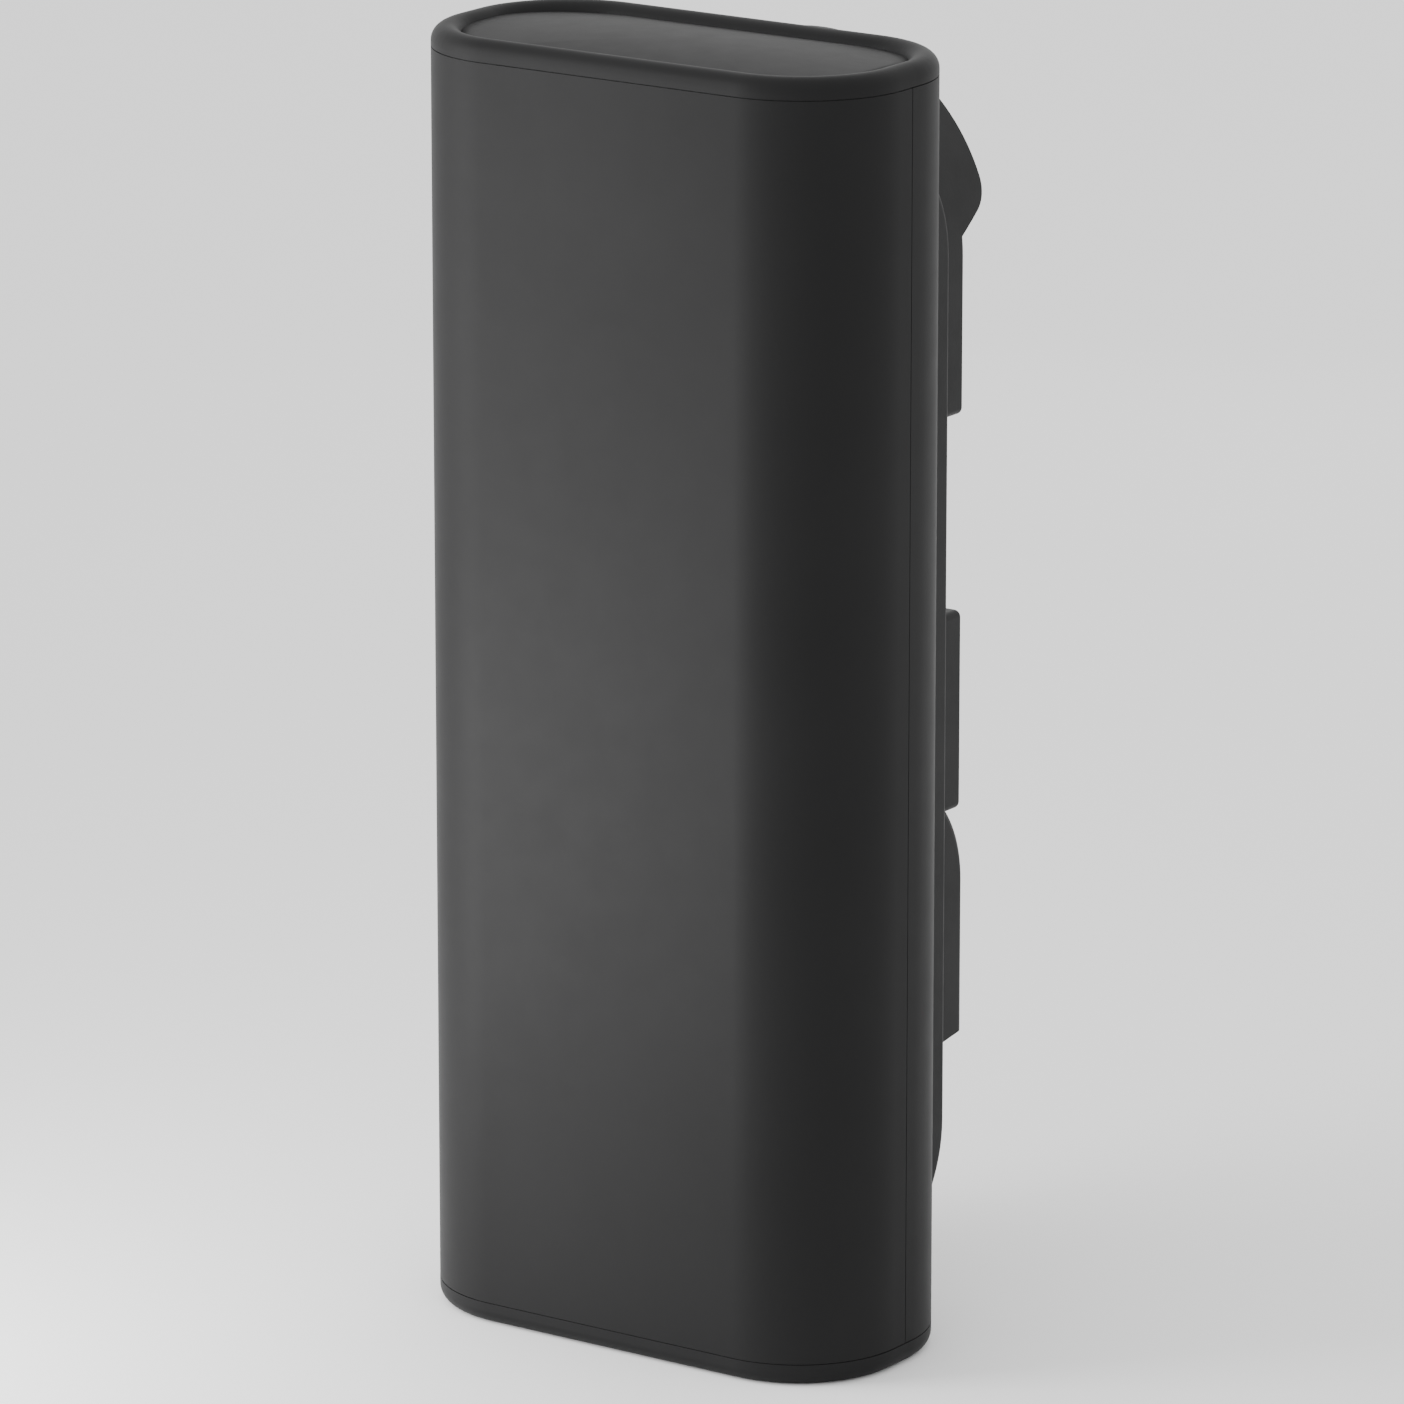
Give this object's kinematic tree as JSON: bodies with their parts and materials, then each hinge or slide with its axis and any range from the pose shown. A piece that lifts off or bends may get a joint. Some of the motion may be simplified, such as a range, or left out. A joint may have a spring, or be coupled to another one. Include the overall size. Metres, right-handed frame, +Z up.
{
  "type": "pedestrian traffic light",
  "caption": "Tall black pedestrian signal: hooded red standing figure, green walking figure with countdown, push-button unit, and a front half that opens as a door.",
  "frame": {"origin": "middle of the flat bottom face, on the axis of the cable entry and at the centre of the four base bolts", "axes": "+Z up, -Y is the front that faces the pedestrian, +X is the hinge side"},
  "size_m": [0.3015, 0.2042, 0.72],
  "materials": {
    "housing_black": "fine matte powder coat, charcoal black",
    "panel_black": "fine matte moulded plastic, charcoal black",
    "seal_rubber": "matte black rubber",
    "zinc_plate": "zinc plated",
    "steel": "stainless steel",
    "supply_aluminium": "plain extruded aluminium",
    "board_green": "green circuit board",
    "board_black": "matte black circuit board",
    "terminal_grey": "grey moulded terminals",
    "brass": "plain brass",
    "led_red": "red tinted epoxy",
    "led_green": "green tinted epoxy",
    "led_amber": "amber tinted epoxy",
    "window_smoked": "smoked polycarbonate",
    "tub_grey": "dark grey moulded plastic",
    "guard_grey": "satin dark grey",
    "wait_ring_red": "translucent red polycarbonate",
    "button_metal": "satin anodised aluminium",
    "arrow_black": "matte black",
    "switch_blue": "dark blue moulded plastic"
  },
  "bodies": {
    "housing": {"rear_shell": "housing_black", "top_cap": "housing_black", "cap_insert": "housing_black", "bottom_cap": "housing_black", "cap_seals": "seal_rubber", "cap_screws": "zinc_plate", "cable_grommet": "seal_rubber", "cable_clamp": "zinc_plate", "chassis_plate": "zinc_plate", "chassis_screws": "steel", "power_supply": "supply_aluminium", "controller_board": "board_green", "din_rail": "zinc_plate", "terminal_block": "terminal_grey", "earth_stud": "brass", "lock_keepers": "zinc_plate", "hinge_leaves_body": "housing_black", "hinge_pins": "steel", "hinge_screws_body": "steel"},
    "door": {"front_shell": "housing_black", "door_gasket": "seal_rubber", "front_panel": "panel_black", "panel_screws": "steel", "hinge_leaves_door": "housing_black", "hinge_screws_door": "steel", "hood": "panel_black", "hood_screws": "steel", "red_bezel": "panel_black", "green_bezel": "panel_black", "bezel_screws": "steel", "red_window": "window_smoked", "red_gasket": "seal_rubber", "red_board": "board_black", "red_leds": "led_red", "red_tub": "tub_grey", "green_window": "window_smoked", "green_gasket": "seal_rubber", "green_board": "board_black", "green_leds": "led_green", "countdown_leds": "led_amber", "green_tub": "tub_grey", "tub_screws": "steel", "sensor_window": "window_smoked", "light_sensor": "board_green", "button_housing": "panel_black", "button_housing_screws": "steel", "button_guard": "guard_grey", "wait_ring": "wait_ring_red", "wait_board": "board_green", "button_carrier": "tub_grey", "button_switch": "switch_blue", "speaker": "arrow_black", "microphone": "arrow_black", "lock_bodies": "zinc_plate", "button_spring": "steel"},
    "button": {"push_button": "button_metal", "tactile_arrow": "arrow_black"},
    "upper_lock": {"upper_lock": "steel"},
    "lower_lock": {"lower_lock": "steel"}
  },
  "joints": [
    {"name": "door_hinge", "type": "hinge", "parent": "housing", "child": "door", "pos_m": [0.151, -0.002, 0.36], "axis": [0, 0, 1], "range_deg": [0, 110]},
    {"name": "button_press", "type": "slide", "parent": "door", "child": "button", "axis": [0, 1, 0], "range_m": [0, 0.003], "stiffness_N_per_m": 900, "springref_m": -0.002, "deforming": ["button_spring"]},
    {"name": "upper_lock_turn", "type": "hinge", "parent": "door", "child": "upper_lock", "pos_m": [-0.092, 0, 0.451], "axis": [0, -1, 0], "range_deg": [0, 90]},
    {"name": "lower_lock_turn", "type": "hinge", "parent": "door", "child": "lower_lock", "pos_m": [-0.092, 0, 0.13], "axis": [0, -1, 0], "range_deg": [0, 90]}
  ]
}
